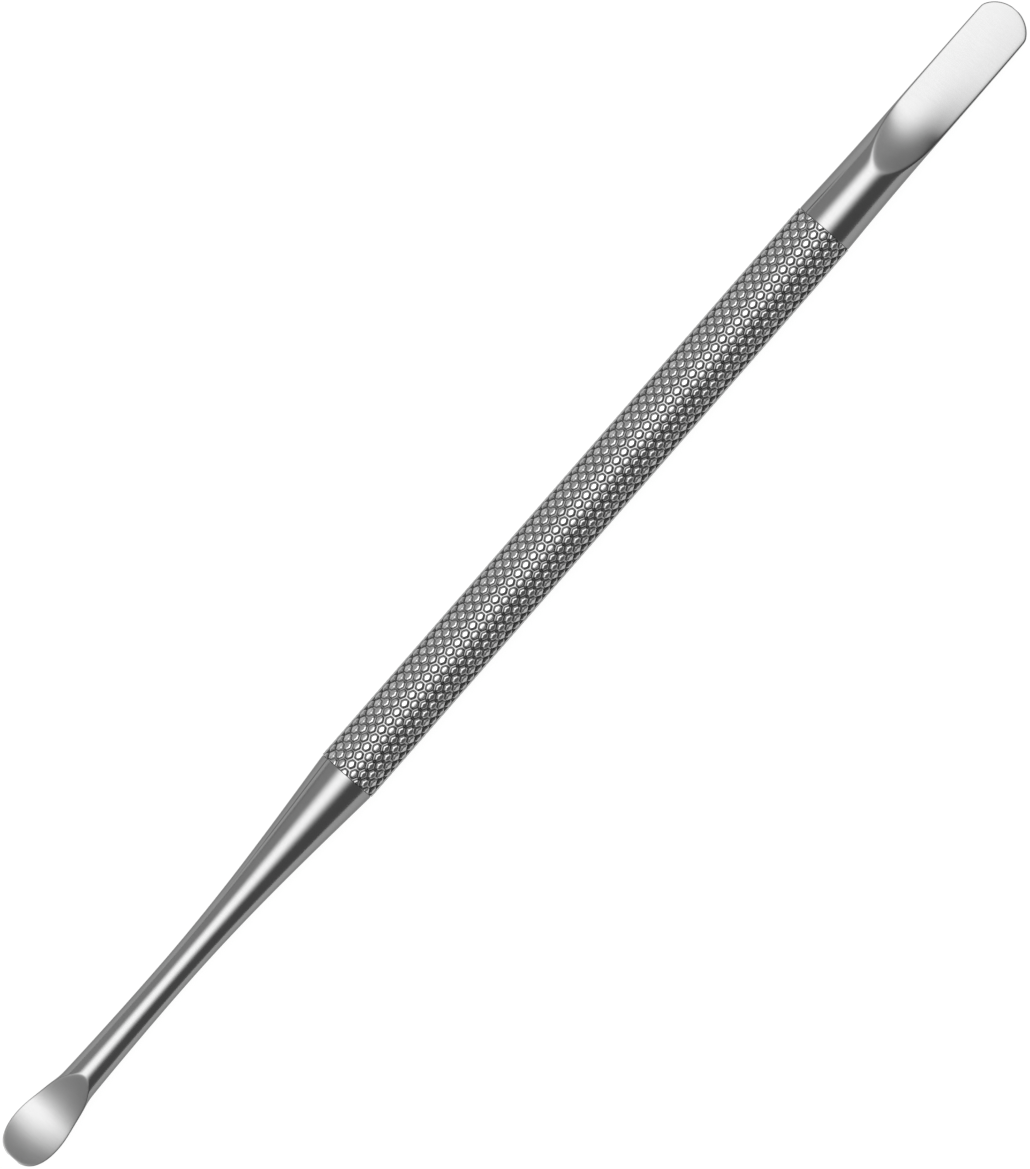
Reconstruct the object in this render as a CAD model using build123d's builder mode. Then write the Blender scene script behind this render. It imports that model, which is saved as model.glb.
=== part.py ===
from build123d import *
from math import hypot, radians, sin, sqrt, tan
import os

# Double-ended cuticle pusher: a hollow knurled handle tube with a forged steel tip brazed into
# each end, a broad pusher blade at one and a small scoop on a slim neck at the other.
#
# Frame: origin on the axis at the handle's mid-length, +X along the tool towards the pusher
# blade, +Z out of the working faces. Millimetres.

# Handle tube. The radius is taken over the crests of the knurl.
handle_length = 64.15
handle_radius = 2.90
bore_radius = 2.10

# Knurl: the crown of each row of studs is one land along the handle, with a groove beside it.
row_count = 24
land_angle = 6
groove_radius = 2.66

# Tangs: each tip has a plug that fills the bore and a groove that holds the braze.
tang_length = 11.0
tang_chamfer = 0.35
shoulder_radius = 2.83
braze_setback = 3.0
braze_width = 1.2
braze_inner_radius = 1.75

# Pusher tip: lengths run from the handle's end.
pusher_reach = 25.85
shank_taper_length = 12.0
blade_half_width = 2.62
blade_tip_radius = 2.92
blade_underside_radius = 7.5

# Spoon tip: lengths run from the handle's end.
spoon_reach = 45.0
neck_cone_end = (13.3, 1.79)
neck_waist = (23.9, 1.46)
neck_root = (37.3, 1.70)
keel_middle = (39.3, 1.30)
keel_end = (41.5, 0.50)
scoop_half_width = 2.505
scoop_widest = 41.7
scoop_underside_radius = 12.0
scoop_root_thickness = 0.90
scoop_thinning = 0.06

# A working face is two planes along the tool, the first falling from the round bar and the
# second the blade's own, joined by a hollow blend that is deepest on the centre line.
# start: where the falling plane meets the bar's surface; meet: where the two planes cross.
pusher_face = dict(
    start=6.85,
    top=blade_half_width,
    fall=tan(radians(23)),
    rise=0.0,
    meet=5.25,
    blend=0.42,
    crown=3.0,
)
spoon_face = dict(
    start=34.9,
    top=1.65,
    fall=tan(radians(28)),
    rise=tan(radians(25)),
    meet=5.35,
    blend=0.98,
    crown=7.0,
)
# The pusher blade's underside rises from the bar and then thins the blade towards its tip.
pusher_back = dict(
    start=7.0,
    top=blade_half_width,
    fall=tan(radians(15)),
    rise=-0.025,
    meet=7.9,
    blend=0.35,
    crown=20.0,
)

cutter_half_width = 3.0
cutter_height = 6.0
cutter_step = 1.5
handle_end = handle_length / 2


def face_height(face, along, across):
    """Height of a working face above the tool's axis."""
    meet_height = face["top"] - face["fall"] * face["meet"]
    past = along - face["start"] - face["meet"]
    falling = meet_height - face["fall"] * past
    rising = meet_height + face["rise"] * past
    blend = face["blend"] * (1 - (across / face["crown"]) ** 2)
    return (falling + rising) / 2 + hypot((falling - rising) / 2, blend)


def cutter_section(x, middle, edge, outer):
    """Closed section across the tool: an arc on the cut face, and straight sides beyond it."""
    with BuildSketch(Plane.YZ.offset(x)) as section:
        with BuildLine():
            ThreePointArc((-cutter_half_width, edge), (0, middle), (cutter_half_width, edge))
            Polyline(
                (cutter_half_width, edge),
                (cutter_half_width, outer),
                (-cutter_half_width, outer),
                (-cutter_half_width, edge),
            )
        make_face()
    return section.sketch


def stations(first, last):
    """Places for a cutter's sections, evenly spaced from first to just past last."""
    count = int((last - first) / cutter_step) + 2
    return [first + cutter_step * i for i in range(count)]


def face_cutter(face, side, first, last):
    """The metal taken off above a working face; side is +1 at the pusher's end, -1 at the spoon's."""
    with BuildPart() as cutter:
        for along in stations(first, last):
            x = side * (handle_end + along)
            middle = face_height(face, along, 0)
            edge = face_height(face, along, cutter_half_width)
            add(cutter_section(x, middle, edge, cutter_height))
        loft()
    return cutter.part


def back_cutter(side, first, last, height, radius):
    """The metal taken off below a tip whose underside is rounded across to the given radius."""
    lift = cutter_half_width**2 / (2 * radius)
    with BuildPart() as cutter:
        for along in stations(first, last):
            x = side * (handle_end + along)
            middle = height(along)
            add(cutter_section(x, middle, middle + lift, -cutter_height))
        loft()
    return cutter.part


def pusher_back_height(along):
    return -face_height(pusher_back, along, 0)


def scoop_back_height(along):
    thickness = scoop_root_thickness - scoop_thinning * (along - spoon_face["start"])
    return face_height(spoon_face, along, 0) - thickness


# Handle tube, with one groove straight up, one straight down, and the lands between them
row_angle = 360 / row_count
groove_width = 2 * handle_radius * sin(radians(row_angle - land_angle) / 2)
groove_depth = handle_radius - groove_radius
with BuildPart() as handle_tube:
    with BuildSketch(Plane.YZ.offset(-handle_end)):
        Circle(handle_radius)
        Circle(bore_radius, mode=Mode.SUBTRACT)
        with PolarLocations(groove_radius, row_count):
            Rectangle(
                2 * groove_depth,
                groove_width,
                align=(Align.MIN, Align.CENTER),
                mode=Mode.SUBTRACT,
            )
    extrude(amount=handle_length)
handle_tube.part.label = "handle_tube"

# Braze rings, one in each tang's groove
with BuildPart() as pusher_braze_ring:
    with BuildSketch(Plane.YZ.offset(handle_end - braze_setback - braze_width)):
        Circle(bore_radius)
        Circle(braze_inner_radius, mode=Mode.SUBTRACT)
    extrude(amount=braze_width)
pusher_braze_ring.part.label = "pusher_braze_ring"

with BuildPart() as spoon_braze_ring:
    with BuildSketch(Plane.YZ.offset(braze_setback - handle_end)):
        Circle(bore_radius)
        Circle(braze_inner_radius, mode=Mode.SUBTRACT)
    extrude(amount=braze_width)
spoon_braze_ring.part.label = "spoon_braze_ring"

# Pusher tip: a round bar with its tang, tapered to the blade's width, then cut to the blade
pusher_face_cut = face_cutter(pusher_face, 1, pusher_face["start"] - 1, pusher_reach)
pusher_back_cut = back_cutter(
    1, pusher_back["start"] - 1, pusher_reach, pusher_back_height, blade_underside_radius
)
pusher_end = handle_end + pusher_reach
with BuildPart() as pusher_tip:
    with BuildSketch(Plane.XZ):
        with BuildLine():
            Polyline(
                (handle_end, shoulder_radius),
                (handle_end, bore_radius),
                (handle_end - tang_length + tang_chamfer, bore_radius),
                (handle_end - tang_length, bore_radius - tang_chamfer),
                (handle_end - tang_length, 0),
                (pusher_end, 0),
                (pusher_end, blade_half_width),
                (handle_end + shank_taper_length, blade_half_width),
            )
            TangentArc(
                (handle_end + shank_taper_length, blade_half_width),
                (handle_end, shoulder_radius),
                tangent=(-1, 0),
            )
        make_face()
    revolve(axis=Axis.X)
    add(pusher_braze_ring.part, mode=Mode.SUBTRACT)
    # rounded end, seen from above
    corner_setback = blade_tip_radius - sqrt(blade_tip_radius**2 - blade_half_width**2)
    with BuildSketch(Plane.XY.offset(-cutter_height)):
        with Locations((pusher_end - corner_setback, 0)):
            Rectangle(
                2 * corner_setback, 2 * cutter_half_width, align=(Align.MIN, Align.CENTER)
            )
        with Locations((pusher_end - blade_tip_radius, 0)):
            Circle(blade_tip_radius, mode=Mode.SUBTRACT)
    extrude(amount=2 * cutter_height, mode=Mode.SUBTRACT)
    add(pusher_face_cut, mode=Mode.SUBTRACT)
    add(pusher_back_cut, mode=Mode.SUBTRACT)
pusher_tip.part.label = "pusher_tip"

# Spoon tip: a scoop plate, and a waisted round neck whose keel fades out below the plate
spoon_face_cut = face_cutter(spoon_face, -1, spoon_face["start"] - 1, spoon_reach)
scoop_back_cut = back_cutter(
    -1, spoon_face["start"], spoon_reach, scoop_back_height, scoop_underside_radius
)


def spoon_point(along, across):
    return (-handle_end - along, across)


with BuildPart() as spoon_tip:
    # the plate's outline, seen from above
    with BuildSketch(Plane.XY.offset(-cutter_height)):
        with BuildLine():
            Spline(
                spoon_point(36.1, 1.05),
                spoon_point(37.35, 1.735),
                spoon_point(38.95, 2.125),
                spoon_point(scoop_widest, scoop_half_width),
                tangents=((-0.8, 0.6), (-1, 0)),
            )
            Spline(
                spoon_point(scoop_widest, scoop_half_width),
                spoon_point(43.4, 2.28),
                spoon_point(44.3, 1.80),
                spoon_point(spoon_reach, 0),
                tangents=((-1, 0), (0, -1)),
            )
            Polyline(spoon_point(spoon_reach, 0), spoon_point(36.1, 0), spoon_point(36.1, 1.05))
        make_face()
        mirror(about=Plane.XZ)
    extrude(amount=2 * cutter_height)
    add(scoop_back_cut, mode=Mode.SUBTRACT)
    # the tang, the neck and its keel
    with BuildSketch(Plane.XZ):
        with BuildLine():
            Polyline(
                spoon_point(keel_end[0], keel_end[1]),
                spoon_point(keel_end[0], 0),
                spoon_point(-tang_length, 0),
                spoon_point(-tang_length, bore_radius - tang_chamfer),
                spoon_point(tang_chamfer - tang_length, bore_radius),
                spoon_point(0, bore_radius),
                spoon_point(0, shoulder_radius),
            )
            Spline(
                spoon_point(0, shoulder_radius),
                spoon_point(*neck_cone_end),
                spoon_point(*neck_waist),
                tangents=((-1, -0.085), (-1, 0)),
            )
            flare = TangentArc(
                spoon_point(*neck_waist), spoon_point(*neck_root), tangent=(-1, 0)
            )
            Spline(
                spoon_point(*neck_root),
                spoon_point(*keel_middle),
                spoon_point(*keel_end),
                tangents=(flare % 1, (-1, -0.35)),
            )
        make_face()
    revolve(axis=Axis.X)
    add(spoon_braze_ring.part, mode=Mode.SUBTRACT)
    add(spoon_face_cut, mode=Mode.SUBTRACT)
spoon_tip.part.label = "spoon_tip"

os.makedirs("parts", exist_ok=True)
for piece in (handle_tube, pusher_tip, spoon_tip, pusher_braze_ring, spoon_braze_ring):
    export_step(piece.part, f"parts/{piece.part.label}.step")
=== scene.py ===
import math

import bmesh
import bpy
import numpy as np
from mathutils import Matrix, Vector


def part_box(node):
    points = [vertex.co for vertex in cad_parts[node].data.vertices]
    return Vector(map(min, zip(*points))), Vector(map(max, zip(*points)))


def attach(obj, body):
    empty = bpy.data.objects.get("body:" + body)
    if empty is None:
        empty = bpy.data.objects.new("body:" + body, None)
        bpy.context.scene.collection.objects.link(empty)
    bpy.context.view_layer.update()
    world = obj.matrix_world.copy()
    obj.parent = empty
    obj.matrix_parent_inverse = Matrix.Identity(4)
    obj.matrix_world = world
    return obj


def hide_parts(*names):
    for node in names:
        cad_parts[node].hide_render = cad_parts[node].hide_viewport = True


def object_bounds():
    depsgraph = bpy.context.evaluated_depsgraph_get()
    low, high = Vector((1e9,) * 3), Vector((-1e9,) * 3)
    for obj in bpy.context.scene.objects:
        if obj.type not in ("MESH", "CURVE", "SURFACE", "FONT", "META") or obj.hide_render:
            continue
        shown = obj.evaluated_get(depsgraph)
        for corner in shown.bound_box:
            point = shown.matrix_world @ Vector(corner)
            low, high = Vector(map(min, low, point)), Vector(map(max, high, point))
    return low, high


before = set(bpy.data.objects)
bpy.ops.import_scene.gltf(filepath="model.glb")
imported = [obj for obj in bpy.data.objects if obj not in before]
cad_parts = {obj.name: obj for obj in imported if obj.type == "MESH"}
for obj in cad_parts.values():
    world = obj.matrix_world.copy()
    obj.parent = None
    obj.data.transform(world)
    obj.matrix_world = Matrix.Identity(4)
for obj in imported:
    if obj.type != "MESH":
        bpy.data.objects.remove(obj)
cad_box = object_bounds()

# Lengths are in millimetres up to the point where a mesh is made, and metres after it.
MM = 0.001

# ---------------------------------------------------------------------------------------------
# Sizes that come from the frame
# ---------------------------------------------------------------------------------------------

handle_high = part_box("handle_tube")[1] / MM
handle_end = handle_high.x
handle_radius = handle_high.z
pusher_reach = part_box("pusher_tip")[1].x / MM - handle_end
spoon_reach = -handle_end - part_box("spoon_tip")[0].x / MM
floor_height = cad_box[0].z

# ---------------------------------------------------------------------------------------------
# Handle: rows of six-sided studs, left standing when the grooves between them were rolled in
# ---------------------------------------------------------------------------------------------

BORE_RADIUS = 2.10
GROOVE_RADIUS = 2.66
STUD_ROWS = 24
STUD_PITCHES = 63
ROW_ANGLE = 2 * math.pi / STUD_ROWS
FIRST_ROW = ROW_ANGLE / 2
STUD_PITCH = 2 * handle_end / STUD_PITCHES
# Half the length of a stud cell's sides that cross the handle, as an angle round it.
SIDE_ANGLE = math.radians(4.8)
POINT_ANGLE = ROW_ANGLE - SIDE_ANGLE
# Points closer together along the handle than this are at the same place.
SAME_PLACE = 1e-4
# A stud's rings, from the middle of the groove to the edge of its top: how far in from the
# cell's outline, how high between groove and crest, how much each corner is cut back, and
# how far the surface leans there.
STUD_RINGS = (
    (0.000, 0.00, 0.080, 0),
    (0.055, 0.03, 0.078, 20),
    (0.100, 0.45, 0.076, 50),
    (0.232, 0.96, 0.066, 28),
    (0.268, 1.00, 0.060, 5),
)

# ---------------------------------------------------------------------------------------------
# Tips: lengths run from the handle's end
# ---------------------------------------------------------------------------------------------

SHOULDER_RADIUS = 2.83
SHOULDER_ROUNDING = 0.04
TANG_LENGTH = 11.0
TANG_CHAMFER = 0.35
BRAZE_SETBACK = 3.0
BRAZE_WIDTH = 1.2
BRAZE_INNER_RADIUS = 1.75

SHANK_TAPER = 12.0
BLADE_HALF_WIDTH = 2.62
BLADE_TIP_RADIUS = 2.92
BLADE_UNDERSIDE = 7.5
BLADE_ROUNDING = 0.06
# The corners of the blade's outline are rounded from nothing to all of this over a short span.
BLADE_CORNER_ROUNDING = 0.05
BLADE_CORNER_SPAN = (20.0, 23.0)
# The blade's ramp is rolled a little to one side, which dies away towards the flat.
BLADE_ROLL = math.tan(math.radians(2.8))
BLADE_ROLL_END = 20.0
# A working face is two planes along the tool, the first falling from the round bar and the
# second the blade's own, joined by a hollow blend that is deepest on the centre line.
# start: where the falling plane meets the bar's surface; meet: where the two planes cross.
BLADE_FACE = dict(
    start=6.85,
    top=BLADE_HALF_WIDTH,
    fall=math.tan(math.radians(23)),
    rise=0.0,
    meet=5.25,
    blend=0.42,
    crown=3.0,
)
# The blade's underside rises from the bar and then thins the blade towards its tip.
BLADE_BACK = dict(
    start=7.0,
    top=BLADE_HALF_WIDTH,
    fall=math.tan(math.radians(15)),
    rise=-0.025,
    meet=7.9,
    blend=0.35,
    crown=20.0,
)

NECK_CONE_END = (13.3, 1.79)
NECK_WAIST = (23.9, 1.46)
NECK_ROOT = (37.3, 1.70)
KEEL_MIDDLE = (39.3, 1.30)
KEEL_END = (41.5, 0.50)
NECK_START_SLOPE = -0.085
KEEL_END_SLOPE = -0.35
SCOOP_OUTLINE = ((36.1, 1.05), (37.35, 1.735), (38.95, 2.125), (41.7, 2.505))
SCOOP_START_SLOPE = 0.75
# From its widest place on, the scoop's outline is a superellipse of these powers. Its field
# is divided by its slope, but by no less than the least slope, to give about a distance.
SCOOP_END_POWERS = (2.28, 2.64)
SCOOP_LEAST_SLOPE = 0.3
SCOOP_UNDERSIDE = 12.0
SCOOP_ROOT_THICKNESS = 0.90
SCOOP_THINNING = 0.06
SCOOP_ROUNDING = 0.03
# The corner between the keel and the scoop plate is filled, from nothing to all of this.
KEEL_BLEND = 0.12
KEEL_BLEND_SPAN = (35.5, 37.0)
SCOOP_FACE = dict(
    start=34.9,
    top=1.65,
    fall=math.tan(math.radians(28)),
    rise=math.tan(math.radians(25)),
    meet=5.35,
    blend=0.98,
    crown=7.0,
)

# A tip's mesh is a stack of rings. Each ring's points lie on rays from a centre line, where
# the surface is found by halving the rays' reach.
RING_POINTS = 320
RAY_REACH = 4.0
RAY_HALVINGS = 36
NORMAL_STEP = 0.002
# The spoon's centre line lifts off the axis into the scoop's plate over a short span, and the
# neck stops counting towards the height of its rings at a place within that.
SPOON_LIFT_SPAN = (33.0, 37.0)
SPOON_NECK_END = 36.0
# The last ring is just short of the CAD tip, as the rim is rounded.
TIP_SETBACK = 0.05
# Where the rings are: round the shoulder, in spans of (from, to, how many), and then crowding
# together towards the tip's end.
SHOULDER_RINGS = (0.01, 0.02, 0.04, 0.08, 0.16, 0.3, 0.6)
PUSHER_SPANS = ((1.0, 6.4, 14), (6.4, 12.4, 84), (12.4, 20.0, 50), (20.0, 24.0, 42))
PUSHER_END_RINGS = 56
SPOON_SPANS = ((1.0, 34.0, 66), (34.0, 38.5, 64), (38.5, 43.0, 48))
SPOON_END_RINGS = 62


def make_piece(name, node, material, points, faces, normals, flat):
    """A piece of the tool in place of a CAD node. normals has one row per point, and the faces
    counted in flat keep their own."""
    mesh = bpy.data.meshes.new(name)
    mesh.from_pydata((np.asarray(points) * MM).tolist(), [], faces)
    mesh.update()
    smooth = np.ones(len(faces), bool)
    smooth[list(flat)] = False
    mesh.polygons.foreach_set("use_smooth", smooth)
    corners = np.empty(len(mesh.loops), np.int64)
    mesh.loops.foreach_get("vertex_index", corners)
    corner_count = np.empty(len(faces), np.int64)
    mesh.polygons.foreach_get("loop_total", corner_count)
    corner_normals = np.asarray(normals)[corners]
    corner_normals[~np.repeat(smooth, corner_count)] = 0.0
    mesh.normals_split_custom_set(corner_normals.tolist())
    mesh.materials.append(material)
    piece = bpy.data.objects.new(name, mesh)
    bpy.context.scene.collection.objects.link(piece)
    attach(piece, "root")
    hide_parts(node)
    return piece


# ---------------------------------------------------------------------------------------------
# Knurled handle
# ---------------------------------------------------------------------------------------------


def inset_hexagon(inset, cut):
    """A stud cell's outline moved in by inset, with each corner cut back: points, each with the
    direction out of its side, anticlockwise from the cell's point on the across axis."""
    half_pitch = STUD_PITCH / 2
    across_point = POINT_ANGLE * handle_radius
    across_side = SIDE_ANGLE * handle_radius
    slant = math.hypot(half_pitch, across_point - across_side)
    slant_normal = ((across_point - across_side) / slant, half_pitch / slant)
    slant_distance = across_point * slant_normal[1]
    point = (slant_distance - inset) / slant_normal[1]
    side = half_pitch - inset
    corner = (slant_distance - inset - side * slant_normal[0]) / slant_normal[1]
    left = [(0, point), (-side, corner), (-side, -corner)]
    right = [(0, -point), (side, -corner), (side, corner)]
    hexagon = left + right
    ring = []
    for i, here in enumerate(hexagon):
        for there in (hexagon[i - 1], hexagon[(i + 1) % 6]):
            step = (there[0] - here[0], there[1] - here[1])
            share = cut / math.hypot(*step)
            place = (here[0] + step[0] * share, here[1] + step[1] * share)
            ring.append((*place, *edge_normal(here, there)))
    return ring


def edge_normal(here, there):
    """Unit vector out of a hexagon about the origin, square to the side between two corners."""
    step = (there[0] - here[0], there[1] - here[1])
    normal = (step[1], -step[0])
    if normal[0] * here[0] + normal[1] * here[1] < 0:
        normal = (-normal[0], -normal[1])
    length = math.hypot(*normal)
    return (normal[0] / length, normal[1] / length)


class HandleMesh:
    """Points round the handle, shared wherever two stud cells meet."""

    def __init__(self):
        self.points = []
        self.normals = []
        self.faces = []
        self.known = {}

    def point(self, along, angle, radius, lean=0.0, out=(0.0, 0.0)):
        angle = angle % (2 * math.pi)
        key = (round(along, 4), round(math.degrees(angle), 3) % 360, round(radius, 4))
        if key not in self.known:
            self.known[key] = len(self.points)
            y, z = -math.sin(angle), math.cos(angle)
            self.points.append((along, radius * y, radius * z))
            rise, push = math.cos(lean), math.sin(lean)
            tangent = (-math.cos(angle), -math.sin(angle))
            self.normals.append(
                (
                    push * out[0],
                    rise * y + push * out[1] * tangent[0],
                    rise * z + push * out[1] * tangent[1],
                )
            )
        return self.known[key]


def stud_cell(handle, rings, middle, angle, keep):
    """One stud and its share of the grooves round it. keep is +1 or -1 at a handle end that cuts
    the stud in half, for the side that stays, and 0 for a whole stud."""
    loops = []
    for (inset, rise, cut, lean), ring in zip(STUD_RINGS, rings):
        radius = GROOVE_RADIUS + rise * (handle_radius - GROOVE_RADIUS)
        places = ring
        if keep:
            top, bottom = ring[0][1], ring[6][1]
            kept = [p for p in ring if p[0] * keep > 0]
            kept.sort(key=lambda p: -p[1])
            places = [(0.0, top, 0.0, 1.0), *kept, (0.0, bottom, 0.0, -1.0)]
            if keep < 0:
                places.reverse()
        loops.append(
            [
                handle.point(middle + u, angle + v / handle_radius, radius, math.radians(lean), (a, b))
                for u, v, a, b in places
            ]
        )
    crown = handle.point(middle, angle, handle_radius)
    count = len(loops[0])
    spans = range(count - 1) if keep else range(count)
    for outer, inner in zip(loops, loops[1:]):
        for i in spans:
            j = (i + 1) % count
            handle.faces.append((outer[i], outer[j], inner[j], inner[i]))
    for i in spans:
        handle.faces.append((loops[-1][i], loops[-1][(i + 1) % count], crown))
    cut = STUD_RINGS[0][2]
    reach = POINT_ANGLE * handle_radius + cut
    for side in (1, -1):
        beyond = handle.point(middle, angle + side * reach / handle_radius, GROOVE_RADIUS)
        near = [v for v in loops[0] if abs(handle.points[v][0] - middle) < cut]
        near = [v for v in near if side_of(handle.points[v], angle) == side]
        handle.faces.append((*near, beyond))


def angle_of(point):
    """How far round the handle a point is, from straight up towards -Y."""
    return math.atan2(-point[1], point[2])


def side_of(point, angle):
    """+1 where a point lies further round the handle than angle, and -1 where it doesn't."""
    return 1 if math.sin(angle_of(point) - angle) > 0 else -1


def end_face(handle, along):
    """Faces of the tube's square-cut end, and its points at the bore, in order round it."""
    rim = [i for i, p in enumerate(handle.points) if abs(p[0] - along) < SAME_PLACE]
    rim.sort(key=lambda i: angle_of(handle.points[i]))
    bore = []
    for i in rim:
        angle = angle_of(handle.points[i])
        bore.append(len(handle.points))
        handle.points.append((along, -BORE_RADIUS * math.sin(angle), BORE_RADIUS * math.cos(angle)))
        handle.normals.append((0.0, math.sin(angle), -math.cos(angle)))
    faces = []
    for i in range(len(rim)):
        j = (i + 1) % len(rim)
        faces.append((rim[i], rim[j], bore[j], bore[i]))
    return faces, bore


def knurled_handle(material):
    handle = HandleMesh()
    rings = [inset_hexagon(inset, cut) for inset, _, cut, _ in STUD_RINGS]
    for row in range(STUD_ROWS):
        angle = FIRST_ROW + row * ROW_ANGLE
        whole_at_ends = row % 2 == 0
        first = 0.5 if whole_at_ends else 0.0
        for k in range(STUD_PITCHES if whole_at_ends else STUD_PITCHES + 1):
            middle = (first + k) * STUD_PITCH - handle_end
            keep = 0
            if not whole_at_ends:
                keep = {0: 1, STUD_PITCHES: -1}.get(k, 0)
            stud_cell(handle, rings, middle, angle, keep)
    near_face, near_bore = end_face(handle, -handle_end)
    far_face, far_bore = end_face(handle, handle_end)
    flat = range(len(handle.faces), len(handle.faces) + len(near_face) + len(far_face))
    handle.faces += near_face + far_face
    for i in range(len(near_bore)):
        j = (i + 1) % len(near_bore)
        handle.faces.append((near_bore[i], near_bore[j], far_bore[j], far_bore[i]))
    faces = facing_out(handle.points, handle.faces)
    return make_piece(
        "knurled_handle", "handle_tube", material,
        handle.points, faces, handle.normals, flat,
    )


def facing_out(points, faces):
    """The same faces, each wound so that it faces out of the closed shape."""
    shape = bmesh.new()
    corners = [shape.verts.new(p) for p in points]
    for face in faces:
        shape.faces.new([corners[i] for i in face])
    shape.verts.index_update()
    bmesh.ops.recalc_face_normals(shape, faces=shape.faces[:])
    wound = [tuple(v.index for v in face.verts) for face in shape.faces]
    shape.free()
    return wound


# ---------------------------------------------------------------------------------------------
# Shapes of the tips, as fields that are negative inside the metal
# ---------------------------------------------------------------------------------------------


def part_way(value, low, high):
    """0 up to low, 1 from high on, and an even climb between them."""
    return np.clip((value - low) / (high - low), 0.0, 1.0)


def eased(part):
    """The same climb with a smooth start and end."""
    return part * part * (3 - 2 * part)


def both(a, b, rounding):
    """Inside both shapes, with the edge where they cross rounded off."""
    return (a + b) / 2 + np.hypot((a - b) / 2, rounding)


def either(a, b, blend):
    """Inside one shape or the other, with the corner between them filled a little."""
    return (a + b) / 2 - np.hypot((a - b) / 2, blend)


def face_height(face, along, across):
    """Height of a working face above the tool's axis."""
    meet_height = face["top"] - face["fall"] * face["meet"]
    past = along - face["start"] - face["meet"]
    falling = meet_height - face["fall"] * past
    rising = meet_height + face["rise"] * past
    blend = face["blend"] * (1 - (across / face["crown"]) ** 2)
    return (falling + rising) / 2 + np.hypot((falling - rising) / 2, blend)


def below_face(face, along, across, height):
    """Field of the metal below a working face, scaled down to about a true distance."""
    lean = math.hypot(1, max(face["fall"], face["rise"]) / 2)
    return (height - face_height(face, along, across)) / lean


def arc_radius(along, start, end):
    """Radius of a bar whose side is an arc that leaves start level and passes through end."""
    run, lift = end[0] - start[0], end[1] - start[1]
    curve = (run**2 + lift**2) / (2 * lift)
    return start[1] + curve - np.sqrt(curve**2 - (along - start[0]) ** 2)


def cubic_through(places, first_slope, last_slope):
    """A smooth curve through places, with the given slopes at its ends, as a function."""
    xs = np.array([p[0] for p in places])
    ys = np.array([p[1] for p in places])
    gaps = np.diff(xs)
    rates = np.diff(ys) / gaps
    matrix = np.eye(len(xs))
    wanted = np.zeros(len(xs))
    wanted[0], wanted[-1] = first_slope, last_slope
    for i in range(1, len(xs) - 1):
        matrix[i, i - 1 : i + 2] = gaps[i], 2 * (gaps[i - 1] + gaps[i]), gaps[i - 1]
        wanted[i] = 3 * (gaps[i] * rates[i - 1] + gaps[i - 1] * rates[i])
    slopes = np.linalg.solve(matrix, wanted)

    def value(x):
        x = np.clip(x, xs[0], xs[-1])
        i = np.clip(np.searchsorted(xs, x, side="right") - 1, 0, len(gaps) - 1)
        t = (x - xs[i]) / gaps[i]
        return (
            ys[i] * (1 + 2 * t) * (1 - t) ** 2
            + ys[i + 1] * t**2 * (3 - 2 * t)
            + gaps[i] * slopes[i] * t * (1 - t) ** 2
            - gaps[i] * slopes[i + 1] * t**2 * (1 - t)
        )

    return value


def shank_radius(along):
    taper = np.minimum(along, SHANK_TAPER)
    return arc_radius(taper, (SHANK_TAPER, BLADE_HALF_WIDTH), (0.0, SHOULDER_RADIUS))


def pusher_top(along):
    return np.minimum(shank_radius(along), face_height(BLADE_FACE, along, 0.0))


def pusher_bottom(along):
    return np.maximum(-shank_radius(along), -face_height(BLADE_BACK, along, 0.0))


def pusher_half_width(along):
    short = np.clip(along - (pusher_reach - BLADE_TIP_RADIUS), 0.0, BLADE_TIP_RADIUS)
    rounded = np.sqrt(BLADE_TIP_RADIUS**2 - short**2)
    return np.minimum(shank_radius(along), rounded)


def pusher_field(along, across, height):
    bar = np.hypot(across, height) - shank_radius(along)
    past = np.maximum(along - (pusher_reach - BLADE_TIP_RADIUS), 0.0)
    end = np.hypot(past, across) - BLADE_TIP_RADIUS
    outline = both(bar, end, BLADE_CORNER_ROUNDING * part_way(along, *BLADE_CORNER_SPAN))
    rolled = eased(1 - part_way(along, SHANK_TAPER, BLADE_ROLL_END))
    level = height - BLADE_ROLL * rolled * across
    top = below_face(BLADE_FACE, along, across, level)
    underside = -face_height(BLADE_BACK, along, 0.0) + across**2 / (2 * BLADE_UNDERSIDE)
    slab = both(top, underside - level, BLADE_ROUNDING)
    body = both(outline, slab, BLADE_ROUNDING)
    return both(body, -along, SHOULDER_ROUNDING)


neck_cone = cubic_through(((0.0, SHOULDER_RADIUS), NECK_CONE_END, NECK_WAIST), NECK_START_SLOPE, 0.0)
neck_root_slope = 2 * (NECK_ROOT[1] - NECK_WAIST[1]) / (NECK_ROOT[0] - NECK_WAIST[0])
keel = cubic_through((NECK_ROOT, KEEL_MIDDLE, KEEL_END), neck_root_slope, KEEL_END_SLOPE)
scoop_side = cubic_through(SCOOP_OUTLINE, SCOOP_START_SLOPE, 0.0)


def neck_radius(along):
    flare = arc_radius(np.clip(along, NECK_WAIST[0], NECK_ROOT[0]), NECK_WAIST, NECK_ROOT)
    radius = np.where(along < NECK_WAIST[0], neck_cone(along), flare)
    radius = np.where(along > NECK_ROOT[0], keel(along), radius)
    return radius + KEEL_END_SLOPE * np.maximum(along - KEEL_END[0], 0.0)


def scoop_bottom(along):
    thickness = SCOOP_ROOT_THICKNESS - SCOOP_THINNING * (along - SCOOP_FACE["start"])
    return face_height(SCOOP_FACE, along, 0.0) - thickness


def scoop_share(along, across):
    """How far a place is towards the scoop's tip and its edge, from its widest place on."""
    widest, half_width = SCOOP_OUTLINE[-1]
    return np.maximum(along - widest, 0.0) / (spoon_reach - widest), np.abs(across) / half_width


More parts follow.
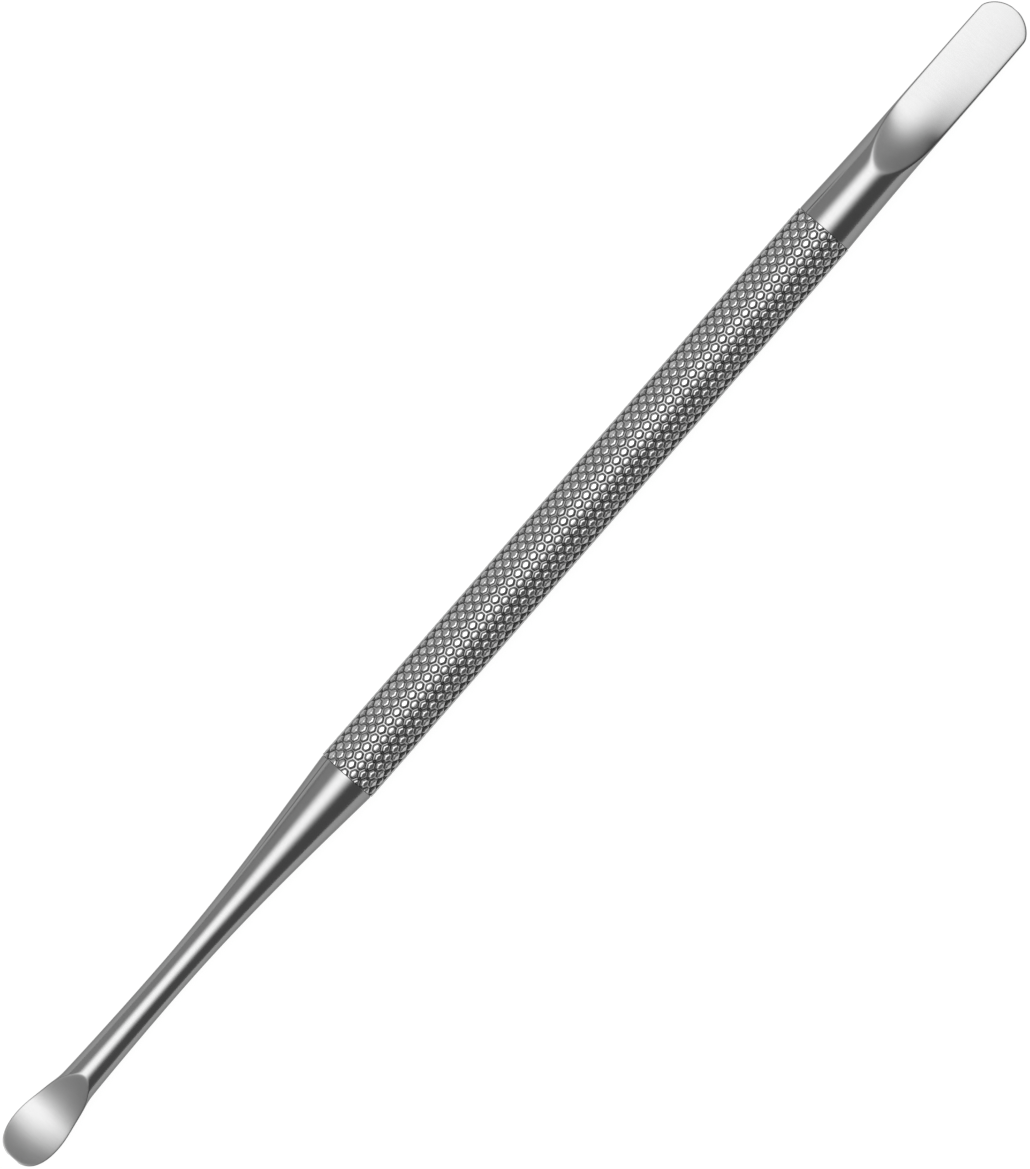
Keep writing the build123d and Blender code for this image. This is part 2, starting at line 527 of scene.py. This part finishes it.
def scoop_outline(along, across):
    """Distance outside the scoop's outline, seen from above."""
    widest, half_width = SCOOP_OUTLINE[-1]
    towards_tip, towards_edge = scoop_share(along, across)
    p, q = SCOOP_END_POWERS
    excess = towards_tip**p + towards_edge**q - 1
    slope_along = p * towards_tip ** (p - 1) / (spoon_reach - widest)
    slope_across = q * towards_edge ** (q - 1) / half_width
    end = excess / np.maximum(np.hypot(slope_along, slope_across), SCOOP_LEAST_SLOPE)
    side = np.abs(across) - scoop_side(along)
    return np.where(along > widest, end, np.maximum(side, SCOOP_OUTLINE[0][0] - along))


def spoon_field(along, across, height):
    neck = np.hypot(across, height) - neck_radius(along)
    underside = scoop_bottom(along) + across**2 / (2 * SCOOP_UNDERSIDE)
    plate = both(scoop_outline(along, across), underside - height, SCOOP_ROUNDING)
    solid = either(neck, plate, KEEL_BLEND * part_way(along, *KEEL_BLEND_SPAN))
    body = both(solid, below_face(SCOOP_FACE, along, across, height), SCOOP_ROUNDING)
    return both(body, -along, SHOULDER_ROUNDING)


def spoon_top(along):
    neck = neck_radius(np.minimum(along, SPOON_NECK_END))
    return np.minimum(neck, face_height(SCOOP_FACE, along, 0.0))


def spoon_bottom(along):
    plate = np.where(along < SCOOP_OUTLINE[0][0], 0.0, scoop_bottom(along))
    return np.minimum(-neck_radius(along), plate)


def spoon_centre(along):
    """Height of a place inside the metal, from which every side of it can be seen."""
    plate = (face_height(SCOOP_FACE, along, 0.0) + scoop_bottom(along)) / 2
    return plate * eased(part_way(along, *SPOON_LIFT_SPAN))


def spoon_half_width(along):
    widest, half_width = SCOOP_OUTLINE[-1]
    p, q = SCOOP_END_POWERS
    narrowed = (1 - part_way(along, widest, spoon_reach) ** p) ** (1 / q)
    plate = np.where(along > widest, half_width * narrowed, scoop_side(along))
    neck = neck_radius(along)
    return np.where(along < SCOOP_OUTLINE[0][0], neck, np.maximum(plate, neck))


# ---------------------------------------------------------------------------------------------
# Tip meshes
# ---------------------------------------------------------------------------------------------


def end_of(side):
    """Where a tip's mesh ends, from the handle's end."""
    reach = pusher_reach if side > 0 else spoon_reach
    return reach - TIP_SETBACK


def ring_stations(spans, end_rings, end):
    """Places of a tip's rings from the handle's end: its shoulder's, its spans', and those
    that crowd together towards its end, where its outline turns across it."""
    spaced = [np.linspace(a, b, n, endpoint=False) for a, b, n in spans]
    start = spans[-1][1]
    closing = end - (end - start) * (1 - np.arange(end_rings) / end_rings) ** 2
    return np.concatenate([SHOULDER_RINGS, *spaced, closing])


def field_radius(field, along, centre, direction):
    """How far each ray from the centre line runs before it leaves the metal."""
    inner = np.zeros(direction.shape[1:])
    outer = np.full_like(inner, RAY_REACH)
    for _ in range(RAY_HALVINGS):
        middle = (inner + outer) / 2
        inside = field(along, direction[0] * middle, centre + direction[1] * middle) < 0
        inner = np.where(inside, middle, inner)
        outer = np.where(inside, outer, middle)
    return inner


def field_normals(field, along, across, height):
    """Unit vectors out of the metal at places on its surface."""
    slopes = []
    for a, b, c in np.eye(3) * NORMAL_STEP:
        beyond = field(along + a, across + b, height + c)
        before = field(along - a, across - b, height - c)
        slopes.append(beyond - before)
    normals = np.stack(slopes, axis=-1)
    return normals / np.linalg.norm(normals, axis=-1, keepdims=True)


def tang_rings():
    """(along, radius) of the plug that fills the bore, with its groove for the braze."""
    groove_end = -BRAZE_SETBACK - BRAZE_WIDTH
    return (
        (-TANG_LENGTH, BORE_RADIUS - TANG_CHAMFER),
        (TANG_CHAMFER - TANG_LENGTH, BORE_RADIUS),
        (groove_end, BORE_RADIUS),
        (groove_end, BRAZE_INNER_RADIUS),
        (-BRAZE_SETBACK, BRAZE_INNER_RADIUS),
        (-BRAZE_SETBACK, BORE_RADIUS),
        (0.0, BORE_RADIUS),
    )


def tip(name, node, material, side, field, stations, centre, half_width, half_height):
    """A tip of the tool. side is +1 at the pusher's end and -1 at the spoon's."""
    turn = np.arange(RING_POINTS) * 2 * math.pi / RING_POINTS
    along = stations[:, None]
    middle = centre(along)
    direction = np.stack([half_width(along) * np.cos(turn), half_height(along) * np.sin(turn)])
    direction = direction / np.linalg.norm(direction, axis=0)
    reach = field_radius(field, along, middle, direction)
    across = direction[0] * reach
    height = middle + direction[1] * reach
    far = np.broadcast_to(along, across.shape)
    normals = field_normals(field, far, across, height)

    points = [(-TANG_LENGTH, 0.0, 0.0)]
    point_normals = [(-1.0, 0.0, 0.0)]
    for place, radius in tang_rings():
        points += [(place, radius * math.cos(a), radius * math.sin(a)) for a in turn]
        point_normals += [(0.0, math.cos(a), math.sin(a)) for a in turn]
    points += np.stack([far, across, height], axis=-1).reshape(-1, 3).tolist()
    point_normals += normals.reshape(-1, 3).tolist()
    end_middle = float(centre(stations[-1:])[0])
    points.append((end_of(side), 0.0, end_middle))
    point_normals.append((1.0, 0.0, 0.0))

    ring_count = len(tang_rings()) + len(stations)
    faces = []
    for i in range(RING_POINTS):
        j = (i + 1) % RING_POINTS
        faces.append((0, 1 + j, 1 + i))
    for ring in range(ring_count - 1):
        base = 1 + ring * RING_POINTS
        for i in range(RING_POINTS):
            j = (i + 1) % RING_POINTS
            faces.append((base + i, base + j, base + RING_POINTS + j, base + RING_POINTS + i))
    last = 1 + (ring_count - 1) * RING_POINTS
    for i in range(RING_POINTS):
        faces.append((last + i, last + (i + 1) % RING_POINTS, len(points) - 1))
    flat = range(RING_POINTS * (1 + len(tang_rings())))

    placed = np.array(points)
    placed[:, 0] = side * (handle_end + placed[:, 0])
    turned = np.array(point_normals)
    turned[:, 0] *= side
    if side < 0:
        faces = [tuple(reversed(face)) for face in faces]
    return make_piece(name, node, material, placed, faces, turned, flat)


def pusher_tip(material):
    return tip(
        "pusher_tip_steel",
        "pusher_tip",
        material,
        1,
        pusher_field,
        ring_stations(PUSHER_SPANS, PUSHER_END_RINGS, end_of(1)),
        lambda along: (pusher_top(along) + pusher_bottom(along)) / 2,
        pusher_half_width,
        lambda along: (pusher_top(along) - pusher_bottom(along)) / 2,
    )


def spoon_tip(material):
    return tip(
        "spoon_tip_steel",
        "spoon_tip",
        material,
        -1,
        spoon_field,
        ring_stations(SPOON_SPANS, SPOON_END_RINGS, end_of(-1)),
        spoon_centre,
        spoon_half_width,
        lambda along: (spoon_top(along) - spoon_bottom(along)) / 2,
    )


# ---------------------------------------------------------------------------------------------
# Materials
# ---------------------------------------------------------------------------------------------

# Painted shade and highlight on the handle's steel: its colour is darkened on the studs' walls and
# brightened on their tops. The painted shade sets in a little above the groove's floor and gives way
# below the crest.
PAINTED_WALL_SHADE = 0.30
PAINTED_CREST_HIGHLIGHT = 1.65
WALL_FOOT = (0.012, 0.03)
WALL_BROW = (0.15, 0.05)
# The tips' painted reflection line, a fine dark line painted where a dark band would be reflected: how
# dark it is, its angle from straight up towards +Y at the spoon's end and at the pusher's, where
# across it the shade fades, in degrees, and where along it.
PAINTED_LINE_SHADE = 0.65
LINE_ANGLES = (54.0, 50.0)
LINE_EDGE = (0.8, 2.2)
PUSHER_LINE_END = (2.0, 5.5)
SPOON_LINE_END = (8.0, 16.0)

# Where nearly all of a noise's values lie.
NOISE_SPAN = (0.3, 0.7)
SPECK_SPAN = (0.35, 0.75)
# Noise scales are per metre. Round the tool the grain's scale is only this share of its scale
# along the tool, so it runs round in lines.
GRAIN_STRETCH = 0.06
PATCH_SCALE = 420.0
SPECK_SCALE = 5200.0
PATCH_ROUGHNESS = (0.9, 1.12)
SPECK_ROUGHNESS = (-0.01, 0.03)

BRAZE_TONES = ((0.52, 0.45, 0.33, 1), (0.80, 0.74, 0.60, 1))
BRAZE_ROUGHNESS = (0.28, 0.5)
WRINKLE_SCALE = 1800.0
WRINKLE_HEIGHT = 0.00003


class Nodes:
    """A material's or a world's nodes, made and joined by name."""

    def __init__(self, owner):
        owner.use_nodes = True
        self.tree = owner.node_tree
        self.tree.nodes.clear()

    def add(self, kind, **values):
        node = self.tree.nodes.new(kind)
        for key, value in values.items():
            setattr(node, key, value)
        return node

    def join(self, output, socket):
        self.tree.links.new(output, socket)

    def maths(self, operation, *terms):
        node = self.add("ShaderNodeMath", operation=operation)
        for socket, term in zip(node.inputs, terms):
            if isinstance(term, (int, float)):
                socket.default_value = term
            else:
                self.join(term, socket)
        return node.outputs[0]

    def stretch(self, value, low, high, to_low, to_high, smooth=False):
        """value from low..high carried over to to_low..to_high, and held beyond it."""
        node = self.add("ShaderNodeMapRange")
        node.interpolation_type = "SMOOTHSTEP" if smooth else "LINEAR"
        self.join(value, node.inputs["Value"])
        node.inputs["From Min"].default_value = low
        node.inputs["From Max"].default_value = high
        node.inputs["To Min"].default_value = to_low
        node.inputs["To Max"].default_value = to_high
        return node.outputs["Result"]

    def hypot(self, a, b):
        squares = self.maths("ADD", self.maths("POWER", a, 2.0), self.maths("POWER", b, 2.0))
        return self.maths("SQRT", squares)

    def parts(self, vector):
        """A vector's x, y and z."""
        node = self.add("ShaderNodeSeparateXYZ")
        self.join(vector, node.inputs[0])
        return node.outputs

    def noise(self, where, scale, detail=2.0, roughness=0.5):
        node = self.add("ShaderNodeTexNoise")
        self.join(where, node.inputs["Vector"])
        node.inputs["Scale"].default_value = scale
        node.inputs["Detail"].default_value = detail
        node.inputs["Roughness"].default_value = roughness
        return node.outputs["Fac"]


def new_material(name):
    """A material with one principled shader: its nodes, the shader and the material."""
    material = bpy.data.materials.new(name)
    nodes = Nodes(material)
    output = nodes.add("ShaderNodeOutputMaterial")
    shader = nodes.add("ShaderNodeBsdfPrincipled")
    nodes.join(shader.outputs[0], output.inputs["Surface"])
    return nodes, shader, material


def stud_painted_light(nodes, where):
    """Painted shade and highlight on the handle's steel: its colour darkened on the studs' walls, left
    as it is in the grooves, and brightened on their tops.
    """
    _, y, z = nodes.parts(where)
    radius = nodes.maths("DIVIDE", nodes.hypot(y, z), MM)
    foot_low, foot_high = (GROOVE_RADIUS + height for height in WALL_FOOT)
    brow_low, brow_high = (handle_radius - depth for depth in WALL_BROW)
    foot = nodes.stretch(radius, foot_low, foot_high, 1.0, PAINTED_WALL_SHADE)
    brow = nodes.stretch(radius, brow_low, brow_high, PAINTED_WALL_SHADE, PAINTED_CREST_HIGHLIGHT)
    return nodes.maths("MAXIMUM", foot, brow)


def painted_reflection_line(nodes, where):
    """Painted reflection on the tips' steel: one fine dark line beside the top of each round bar,
    where a dark band would be reflected.
    """
    x, y, z = nodes.parts(where)
    along = nodes.maths("DIVIDE", x, MM)
    angle = nodes.maths("DEGREES", nodes.maths("ARCTAN2", y, z))
    middle = nodes.stretch(along, -1.0, 1.0, *LINE_ANGLES)
    beside = nodes.maths("ABSOLUTE", nodes.maths("SUBTRACT", angle, middle))
    line = nodes.stretch(beside, *LINE_EDGE, 1.0, 0.0)
    pusher_low, pusher_high = (handle_end + reach for reach in PUSHER_LINE_END)
    spoon_high, spoon_low = (-handle_end - reach for reach in SPOON_LINE_END)
    pusher_share = nodes.stretch(along, pusher_low, pusher_high, 1.0, 0.0)
    spoon_share = nodes.stretch(along, spoon_low, spoon_high, 0.0, 1.0)
    line = nodes.maths("MULTIPLY", line, nodes.maths("MINIMUM", pusher_share, spoon_share))
    return nodes.maths("SUBTRACT", 1.0, nodes.maths("MULTIPLY", line, PAINTED_LINE_SHADE))


def steel(name, tone, roughness, grain_height, grain_scale, spread, painted_light_and_shade):
    """Bare stainless steel, satin from fine grinding lines that run round the tool, with faint patches
    of wear and a few rubbed places. Its colour is multiplied by the painted light and shade that the
    last argument gives."""
    nodes, shader, material = new_material(name)
    shader.inputs["Metallic"].default_value = 1.0
    shader.inputs["Specular Tint"].default_value = (0.5, 0.5, 0.5, 1)
    where = nodes.add("ShaderNodeTexCoord").outputs["Object"]

    grain_space = nodes.add("ShaderNodeMapping")
    nodes.join(where, grain_space.inputs["Vector"])
    grain_space.inputs["Scale"].default_value = (1.0, GRAIN_STRETCH, GRAIN_STRETCH)
    grain = nodes.noise(grain_space.outputs[0], grain_scale, detail=3.0, roughness=0.6)
    patches = nodes.noise(where, PATCH_SCALE, detail=4.0, roughness=0.6)
    specks = nodes.noise(where, SPECK_SCALE, detail=2.0)

    shade = nodes.stretch(patches, *NOISE_SPAN, tone * (1 - spread), tone * (1 + spread))
    streaks = nodes.stretch(grain, *NOISE_SPAN, 1 - spread, 1 + spread)
    shade = nodes.maths("MULTIPLY", shade, streaks)
    # Painted light and shade, multiplied into the colour.
    shade = nodes.maths("MULTIPLY", shade, painted_light_and_shade(nodes, where))
    colour = nodes.add("ShaderNodeCombineColor")
    for channel in ("Red", "Green", "Blue"):
        nodes.join(shade, colour.inputs[channel])
    nodes.join(colour.outputs[0], shader.inputs["Base Color"])

    worn_low, worn_high = (roughness * share for share in PATCH_ROUGHNESS)
    gloss = nodes.stretch(patches, *NOISE_SPAN, worn_low, worn_high)
    gloss = nodes.maths("ADD", gloss, nodes.stretch(specks, *SPECK_SPAN, *SPECK_ROUGHNESS))
    nodes.join(gloss, shader.inputs["Roughness"])

    bump = nodes.add("ShaderNodeBump")
    bump.inputs["Strength"].default_value = 1.0
    bump.inputs["Distance"].default_value = grain_height
    nodes.join(grain, bump.inputs["Height"])
    nodes.join(bump.outputs[0], shader.inputs["Normal"])
    return material


def braze():
    """Silver brazing alloy: a warm pale metal that froze with a slightly wrinkled skin."""
    nodes, shader, material = new_material("silver_braze_skin")
    shader.inputs["Metallic"].default_value = 1.0
    where = nodes.add("ShaderNodeTexCoord").outputs["Object"]
    wrinkles = nodes.noise(where, WRINKLE_SCALE, detail=4.0)
    ramp = nodes.add("ShaderNodeValToRGB")
    for stop, tone in zip(ramp.color_ramp.elements, BRAZE_TONES):
        stop.color = tone
    nodes.join(wrinkles, ramp.inputs["Fac"])
    nodes.join(ramp.outputs["Color"], shader.inputs["Base Color"])
    gloss = nodes.stretch(wrinkles, *NOISE_SPAN, *BRAZE_ROUGHNESS)
    nodes.join(gloss, shader.inputs["Roughness"])
    bump = nodes.add("ShaderNodeBump")
    bump.inputs["Distance"].default_value = WRINKLE_HEIGHT
    nodes.join(wrinkles, bump.inputs["Height"])
    nodes.join(bump.outputs[0], shader.inputs["Normal"])
    return material


# ---------------------------------------------------------------------------------------------
# Stage: a pale table, and a soft overhead strip of light with a dark screen on one side
# ---------------------------------------------------------------------------------------------

TABLE_SIZE = 8.0
TABLE_GLOW = 0.92
TABLE_TONE = 0.12

ROOM_LIGHT = 0.65
STRIP_LIGHT = 2.7
SCREEN_LIGHT = 0.19
END_WALL_SHARE = 0.72
# Angles are from straight up, in degrees: across the tool towards -Y, and along it towards
# +X. The strip is an oval about its middle, which fades between two shares of its spread and
# is cut off along the tool. The screen fades in and out across, and the end walls come in
# along the tool both ways.
STRIP_MIDDLE = (-10.3, 3.0)
STRIP_SPREAD = (23.5, 40.0)
STRIP_FADE = (0.3, 1.7)
STRIP_CUT = (34.0, 46.0)
SCREEN_IN = (20.0, 38.0)
SCREEN_OUT = (74.0, 110.0)
END_WALLS_IN = (36.0, 52.0)


def table():
    _, shader, material = new_material("table_white")
    shader.inputs["Base Color"].default_value = (TABLE_TONE, TABLE_TONE, TABLE_TONE, 1)
    shader.inputs["Roughness"].default_value = 1.0
    shader.inputs["Specular IOR Level"].default_value = 0.0
    shader.inputs["Emission Color"].default_value = (1, 1, 1, 1)
    shader.inputs["Emission Strength"].default_value = TABLE_GLOW
    half = TABLE_SIZE / 2
    mesh = bpy.data.meshes.new("table_top")
    corners = [(-half, -half, floor_height), (half, -half, floor_height)]
    corners += [(half, half, floor_height), (-half, half, floor_height)]
    mesh.from_pydata(corners, [], [(0, 1, 2, 3)])
    mesh.materials.append(material)
    floor = bpy.data.objects.new("table_top", mesh)
    bpy.context.scene.collection.objects.link(floor)


def studio():
    """The room's soft light: a strip overhead, brightest in the middle, in a pale room with a
    dark screen on its -Y side and dimmer walls beyond the tool's ends."""
    world = bpy.data.worlds.new("studio")
    bpy.context.scene.world = world
    nodes = Nodes(world)
    output = nodes.add("ShaderNodeOutputWorld")
    background = nodes.add("ShaderNodeBackground")
    nodes.join(background.outputs[0], output.inputs["Surface"])
    x, y, z = nodes.parts(nodes.add("ShaderNodeTexCoord").outputs["Generated"])
    across = nodes.maths("DEGREES", nodes.maths("ARCTAN2", nodes.maths("MULTIPLY", y, -1.0), z))
    along = nodes.maths("DEGREES", nodes.maths("ARCTAN2", x, z))

    from_middle = []
    for angle, middle, spread in zip((across, along), STRIP_MIDDLE, STRIP_SPREAD):
        from_middle.append(nodes.maths("DIVIDE", nodes.maths("SUBTRACT", angle, middle), spread))
    lamp = nodes.stretch(nodes.hypot(*from_middle), *STRIP_FADE, 1.0, 0.0, smooth=True)
    strip = nodes.maths("MULTIPLY", lamp, nodes.stretch(along, *STRIP_CUT, 1.0, 0.0, smooth=True))

    screen_in = nodes.stretch(across, *SCREEN_IN, 0.0, 1.0, smooth=True)
    screen_out = nodes.stretch(across, *SCREEN_OUT, 1.0, 0.0, smooth=True)
    screen = nodes.maths("MULTIPLY", screen_in, screen_out)
    shaded = nodes.maths("MULTIPLY", screen, ROOM_LIGHT - SCREEN_LIGHT)
    room = nodes.maths("SUBTRACT", ROOM_LIGHT, shaded)
    off_middle = nodes.maths("ABSOLUTE", along)
    end_walls = nodes.stretch(off_middle, *END_WALLS_IN, 1.0, END_WALL_SHARE, smooth=True)
    room = nodes.maths("MULTIPLY", room, end_walls)

    light = nodes.maths("ADD", room, nodes.maths("MULTIPLY", strip, STRIP_LIGHT))
    nodes.join(light, background.inputs["Strength"])
    background.inputs["Color"].default_value = (1, 1, 1, 1)


# ---------------------------------------------------------------------------------------------
# Camera: straight above, turned so that the tool runs up to the right
# ---------------------------------------------------------------------------------------------

# In metres, apart from the sensor's width in millimetres and the turn in degrees.
CAMERA_DISTANCE = 3.0
CAMERA_TURN = -48.9
SENSOR_WIDTH = 36.0
VIEW_HEIGHT = 0.10345
AIM_X = -0.009575
AIM_Y = -0.00008
CLIP_NEAR = 0.1
CLIP_FAR = 20.0


def camera():
    lens = bpy.data.cameras.new("camera")
    lens.sensor_width = SENSOR_WIDTH
    lens.lens = SENSOR_WIDTH * CAMERA_DISTANCE / VIEW_HEIGHT
    lens.clip_start = CLIP_NEAR
    lens.clip_end = CLIP_FAR
    eye = bpy.data.objects.new("camera", lens)
    eye.location = (AIM_X, AIM_Y, CAMERA_DISTANCE)
    eye.rotation_euler = (0.0, 0.0, math.radians(CAMERA_TURN))
    bpy.context.scene.collection.objects.link(eye)
    bpy.context.scene.camera = eye


# ---------------------------------------------------------------------------------------------
# The scene
# ---------------------------------------------------------------------------------------------

camera()
table()
studio()
bpy.context.scene.view_settings.view_transform = "Standard"

# The handle's steel carries painted shade on the studs' walls and a painted highlight on their tops.
stud_steel = steel(
    "knurled_steel_skin",
    tone=0.27,
    roughness=0.12,
    grain_height=4e-7,
    grain_scale=9000.0,
    spread=0.04,
    painted_light_and_shade=stud_painted_light,
)
# The tips' steel carries a painted dark reflection line.
tip_steel = steel(
    "satin_steel_skin",
    tone=0.27,
    roughness=0.17,
    grain_height=5e-7,
    grain_scale=14000.0,
    spread=0.02,
    painted_light_and_shade=painted_reflection_line,
)
knurled_handle(stud_steel)
pusher_tip(tip_steel)
spoon_tip(tip_steel)
braze_skin = braze()
for ring_name in ("pusher_braze_ring", "spoon_braze_ring"):
    ring_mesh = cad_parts[ring_name].data
    ring_mesh.materials.clear()
    ring_mesh.materials.append(braze_skin)
